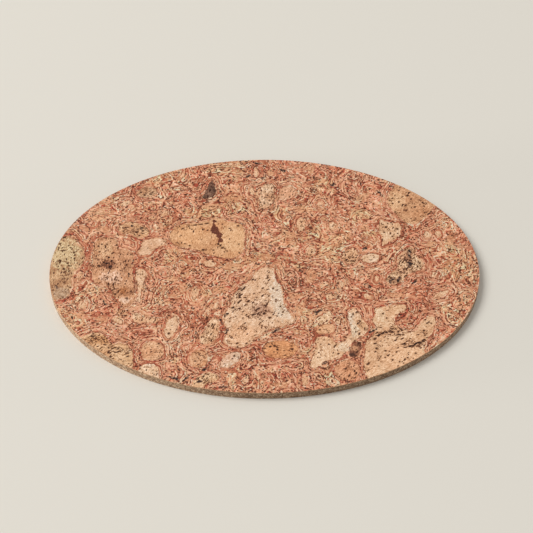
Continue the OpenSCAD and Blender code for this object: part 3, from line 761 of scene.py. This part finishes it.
def swirls(points):
    """Flow, drift and seam of the strips. The flow is the distance to the nearest swirl or chip, run
    together softly. A swirl's rings are ovals, bent by a slow waver. Only large and pale chips count, and
    they count as chip_lead nearer. The drift is each swirl's own random tone, from -1 to 1, 0 next to a
    chip, and a little lower towards the rim. The seam is how much farther the next nearest is, so 0 where
    two swirls meet."""
    draw = np.random.default_rng(5)
    column, row = np.mgrid[-half_length:half_length:swirl_gap, -half_width:half_width:swirl_gap]
    centres = np.stack([column.ravel(), row.ravel()], 1)
    centres += draw.uniform(-0.5, 0.5, centres.shape) * swirl_gap
    turn = draw.uniform(0, np.pi, len(centres))
    stretch = draw.uniform(1.1, 2.6, len(centres))
    tone = draw.uniform(-1, 1, len(centres))
    bends = [waver(points, swirl_bend_length, seed) for seed in (21, 22)]
    bent = points + swirl_bend * np.stack(bends, 1)
    reach = draw.uniform(0, 5, len(centres))
    chip_away = nearest(points, leading_rims)[0] - chip_lead
    flows, drifts, gaps = [], [], []
    for block, chip_near in zip(np.array_split(bent, 16), np.array_split(chip_away, 16)):
        run, rise = block[:, :1] - centres[:, 0], block[:, 1:] - centres[:, 1]
        along = (run * np.cos(turn) + rise * np.sin(turn)) / stretch
        away = np.hypot(along, rise * np.cos(turn) - run * np.sin(turn)) - reach
        weights = np.exp(-away / swirl_blend)
        total = weights.sum(1) + np.exp(-chip_near / swirl_blend)
        flows.append(-swirl_blend * np.log(total + 1e-30))
        drifts.append(weights @ tone / total)
        closest = np.partition(np.column_stack([away, chip_near]), 1, axis=1)
        gaps.append(closest[:, 1] - closest[:, 0])
    rim_share = np.hypot(points[:, 0] / half_length, points[:, 1] / half_width)
    drift = np.concatenate(drifts) + 0.5 * (0.6 - rim_share ** 2)
    return np.concatenate(flows), drift, np.concatenate(gaps)


def mark_slice(piece, points, pits, in_chip, in_bark):
    """All marks of one slice. Chip is the distance to the nearest chip outline, below 0 outside chips, and
    bark the same for bark, with rust 1 where that bark fills the crack. Tone runs from that chip's main to
    its second colour by a slow waver, then to each stain by a bell with a crisp, wavering rim. Grain is the
    place along and across its lean, and crust is the chip's own plus that of its patches, each a bell."""
    flat = points[:, :2]
    flows, drifts, seams = swirls(flat)
    away, number = nearest(flat, chip_rims[:, 0])
    owner = chip_owner[number]
    mark(piece, "flow", "FLOAT", flows)
    mark(piece, "drift", "FLOAT", drifts)
    mark(piece, "seam", "FLOAT", seams)
    mark(piece, "chip", "FLOAT", np.where(in_chip, away, -away))
    covers = np.array([*[1.0] * len(chip_looks), *small_covers.values()])
    mark(piece, "cover", "FLOAT", covers[owner])
    looks = [*chip_looks.values(), *small_looks.values()]
    main = np.array([colour(look[0]) for look in looks])[owner]
    second = np.array([colour(look[1]) for look in looks])[owner]
    share = np.clip(0.5 + 0.6 * waver(flat, 16, 41), 0, 1)[:, None]
    tones = main * (1 - share) + second * share
    for stains in chip_stains.values():
        for x, y, reach_x, reach_y, code, strength in stains:
            bell = np.exp(-((flat[:, 0] - x) / reach_x) ** 2 - ((flat[:, 1] - y) / reach_y) ** 2)
            bell = strength * np.clip((bell - 0.32 + 0.16 * waver(flat, 5, 31)) / 0.3, 0, 1)[:, None]
            tones = tones * (1 - bell) + np.array(colour(code)) * bell
    mark(piece, "tone", "FLOAT_COLOR", tones)
    turn = np.radians(np.array([look[2] for look in looks])[owner])
    along = flat[:, 0] * np.cos(turn) + flat[:, 1] * np.sin(turn)
    across = flat[:, 1] * np.cos(turn) - flat[:, 0] * np.sin(turn)
    mark(piece, "grain", "FLOAT_VECTOR", np.column_stack([along, across, 7.0 * owner]))
    crusts = np.array([look[4] for look in looks])[owner]
    for name, bells in chip_crusts.items():
        for x, y, reach_x, reach_y, strength in bells:
            bell = np.exp(-((flat[:, 0] - x) / reach_x) ** 2 - ((flat[:, 1] - y) / reach_y) ** 2)
            crusts += (owner == chip_names.index(name)) * strength * bell
    mark(piece, "crust", "FLOAT", crusts)
    bark_away, number = nearest(flat, bark_rims[:, 0])
    mark(piece, "bark", "FLOAT", bark_away if in_bark else -bark_away)
    mark(piece, "rust", "FLOAT", number >= len(rims["bark_flecks"]))
    in_pit = np.clip((1.2 - pit_reach(flat, pits)) / 0.3, 0, 1) if len(pits) else 0 * along
    mark(piece, "pit", "FLOAT", in_pit)


def lay_chip(name, lean, pore_count, pores):
    """One chip or group of chips with its placed pores and pore_count small ones at random."""
    sides = rims[name]
    draw = np.random.default_rng(len(sides))
    spots = staggered_rows(sides, small_pore_gap)
    spots = spots[nearest(spots, sides[:, 0])[0] > small_pore_margin]
    spots = spots[draw.permutation(len(spots))[:pore_count]]
    small = np.column_stack([
        spots, draw.uniform(0.9, 1.8, len(spots)), draw.uniform(0.6, 1.0, len(spots)),
        lean + draw.normal(0, 25, len(spots))])
    pits = np.concatenate([np.reshape(pores, (-1, 5)), small])
    piece, points = inlay(name + "_slice", sides, chip_gap, pits, sliced_veneer)
    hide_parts(name)
    mark_slice(piece, points, pits, True, False)


for name, (_, _, lean, pore_count, _) in chip_looks.items():
    slot = "dark_bark" if "bark" in name else "pale_cork"
    lay_chip(name, lean, pore_count, chip_pores.get(name, []))

# Small chips and flecks: crumbs of the same cork, pale and tan, and near-black slivers of outer bark, one of
# which fills the long crack. They are pressed and sliced with the rest and lie flush.
for name, slot in [("pale_chips", "pale_cork"), ("tan_chips", "tan_cork")]:
    lay_chip(name, small_looks[name][2], small_looks[name][3], [])
for name in ["bark_flecks", "crack_bark"]:
    piece, points = inlay(name + "_slice", rims[name], chip_gap, [], sliced_veneer)
    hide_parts(name)
    mark_slice(piece, points, [], inside(points[:, :2], chip_rims), True)

# Bed of shavings: thin cork shavings, salmon, tan and red-brown, poured round the chips with glue before the
# block is pressed. In the slice each shaving shows its edge as a strip, and the strips run round the chips
# and in swirls between them. The bed is sanded flush with the chips.
bed_gap = 1.05
bed_pit_count = 240
bed_pit_gap = 3.0
bed_pit_margin = 2.0
bed_sides = outline_sides("veneer_ground")
draw = np.random.default_rng(7)
pit_places = staggered_rows(bed_sides, bed_pit_gap)
pit_places = pit_places[nearest(pit_places, bed_sides[:, 0])[0] > bed_pit_margin]
pit_places = pit_places[draw.permutation(len(pit_places))[:bed_pit_count]]
bed_pits = np.column_stack([
    pit_places, draw.uniform(1.0, 2.4, bed_pit_count), draw.uniform(0.6, 1.0, bed_pit_count),
    draw.uniform(0, 180, bed_pit_count)])
bed, points = inlay("bed_of_shavings", bed_sides, bed_gap, bed_pits, sliced_veneer)
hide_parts("veneer_ground")
mark_slice(bed, points, bed_pits, False, False)

# Floor and light: a plain pale studio floor, a large soft light high to the left and a little behind, a low
# strip light on the same side that catches the edge, a weak low one on the right, and an even pale
# surrounding. They are not part of the mat. Sizes here are in metres.
floor_half = 4
daylight = (1.0, 0.985, 0.95)
floor_corners = [(x * floor_half, y * floor_half, 0) for x, y in [(-1, -1), (1, -1), (1, 1), (-1, 1)]]
floor_mesh = bpy.data.meshes.new("studio_floor")
floor_mesh.from_pydata(floor_corners, [], [(0, 1, 2, 3)])
tree, shader, floor_paint = finish_of("floor paint", 0.8, 0.1)
shader.inputs["Base Color"].default_value = colour("e6e2da")
floor_mesh.materials.append(floor_paint)
studio_floor = bpy.data.objects.new("studio_floor", floor_mesh)
bpy.context.scene.collection.objects.link(studio_floor)

surround = bpy.data.worlds.new("surround")
surround.use_nodes = True
surround.node_tree.nodes["Background"].inputs["Color"].default_value = (*daylight, 1.0)
surround.node_tree.nodes["Background"].inputs["Strength"].default_value = 0.46
bpy.context.scene.world = surround
for name, stand, width, height, power in [
        ("main_light", (-5.1, 0.7, 6.1), 4.8, 4.8, 408),
        ("side_light", (-6.0, -0.6, 0.13), 1.6, 0.24, 380),
        ("fill_light", (6.0, 0.4, 0.3), 1.6, 0.3, 45)]:
    lamp = bpy.data.lights.new(name, "AREA")
    lamp.shape = "RECTANGLE"
    lamp.size = width
    lamp.size_y = height
    lamp.energy = power
    lamp.color = daylight
    studio_light = bpy.data.objects.new(name, lamp)
    studio_light.location = stand
    studio_light.rotation_euler = (-studio_light.location).to_track_quat("-Z", "Y").to_euler()
    bpy.context.scene.collection.objects.link(studio_light)

# Camera: looks down at the mat from the front, with a long lens, so the far side is hardly smaller.
camera_lens = bpy.data.cameras.new("camera")
camera_lens.sensor_width = 36
camera_lens.lens = 122.79
camera = bpy.data.objects.new("camera", camera_lens)
camera.location = (0, -1.1729, 1.2306)
camera_aim = Vector((0.00196, 0.01125, 0))
camera.rotation_euler = (camera_aim - camera.location).to_track_quat("-Z", "Y").to_euler()
bpy.context.scene.collection.objects.link(camera)
bpy.context.scene.camera = camera
bpy.context.scene.view_settings.view_transform = "Standard"
